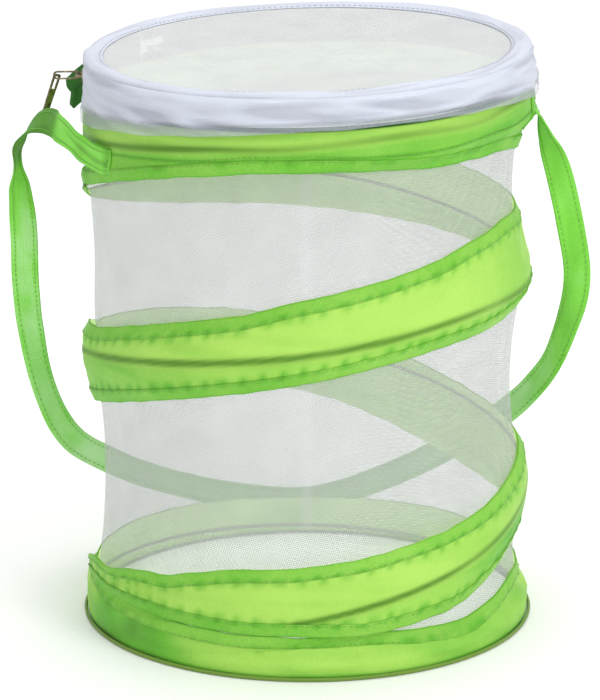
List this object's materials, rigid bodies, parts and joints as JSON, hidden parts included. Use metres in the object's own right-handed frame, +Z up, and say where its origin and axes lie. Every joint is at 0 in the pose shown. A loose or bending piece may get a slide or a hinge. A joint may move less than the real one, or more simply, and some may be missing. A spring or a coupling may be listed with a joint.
{
  "type": "insect cage",
  "caption": "Pop-up cylindrical insect cage: net wall on a spiral spring in a fabric sleeve, zipped net lid with a flap, and a carrying strap.",
  "frame": {"origin": "middle of the floor panel's underside, on the floor", "axes": "+Z up along the cage's axis, front towards -Y, the zip slider's parked side towards -X"},
  "size_m": [0.2998, 0.2508, 0.3047],
  "materials": {
    "white_cloth": "woven, soft sheen",
    "white_net": "fine translucent net",
    "green_cloth": "thin woven nylon",
    "deep_green_webbing": "woven webbing",
    "dark_green_tape": "woven tape",
    "olive_binding": "woven binding",
    "zip_tape": "woven tape",
    "zip_coil": "nylon coil",
    "spring_steel": "drawn wire",
    "dark_bronze": "dark bronze plating"
  },
  "bodies": {
    "base": {"floor_panel": "white_cloth", "bottom_piping": "olive_binding", "bottom_wire_ring": "spring_steel", "bottom_band": "green_cloth", "wall_net": "white_net", "wall_seam_tape": "white_cloth", "spring_coil": "spring_steel", "spiral_sleeve": "green_cloth"},
    "rim": {"top_wire_ring": "spring_steel", "top_band": "green_cloth", "zip_tape_lower": "zip_tape", "zip_chain_lower": "zip_coil", "zip_stop_first": "dark_bronze", "zip_stop_last": "dark_bronze", "strap_root_left": "deep_green_webbing", "strap_root_right": "deep_green_webbing"},
    "lid": {"lid_net": "white_net", "lid_rim": "white_cloth", "lid_hoop": "spring_steel", "zip_tape_upper": "zip_tape", "zip_chain_upper": "zip_coil", "lid_flap": "white_cloth", "hinge_panel": "white_cloth", "zip_tail": "dark_green_tape"},
    "slider": {"slider_body": "dark_bronze"},
    "pull": {"pull_link": "dark_bronze", "pull_tab": "dark_bronze"},
    "strap": {"strap": "deep_green_webbing"}
  },
  "joints": [
    {"name": "collapse", "type": "slide", "parent": "base", "child": "rim", "axis": [0, 0, -1], "range_m": [0, 0.2], "stiffness_N_per_m": 8, "springref_m": -0.2, "deforming": ["wall_net", "wall_seam_tape", "spring_coil", "spiral_sleeve", "strap"]},
    {"name": "lid_hinge", "type": "hinge", "parent": "rim", "child": "lid", "pos_m": [-0.09938, 0.04636, 0.28441], "axis": [-0.4231, -0.906, 0.0115], "range_deg": [0, 85], "deforming": ["hinge_panel", "zip_tail"]},
    {"name": "zip_run", "type": "hinge", "parent": "rim", "child": "slider", "pos_m": [0, 0, 0.2885], "axis": [-0.029, 0.0262, 0.9992], "range_deg": [0, 316], "deforming": ["lid_flap"]},
    {"name": "pull_swing", "type": "hinge", "parent": "slider", "child": "pull", "pos_m": [-0.11836, 0.00828, 0.28485], "axis": [0.0705, 0.9972, -0.0241], "range_deg": [-30, 20]},
    {"name": "strap_swing", "type": "hinge", "parent": "rim", "child": "strap", "pos_m": [0.00814, -0.03623, 0.2646], "axis": [0.9742, 0.2127, 0.0749], "range_deg": [0, 150]}
  ]
}
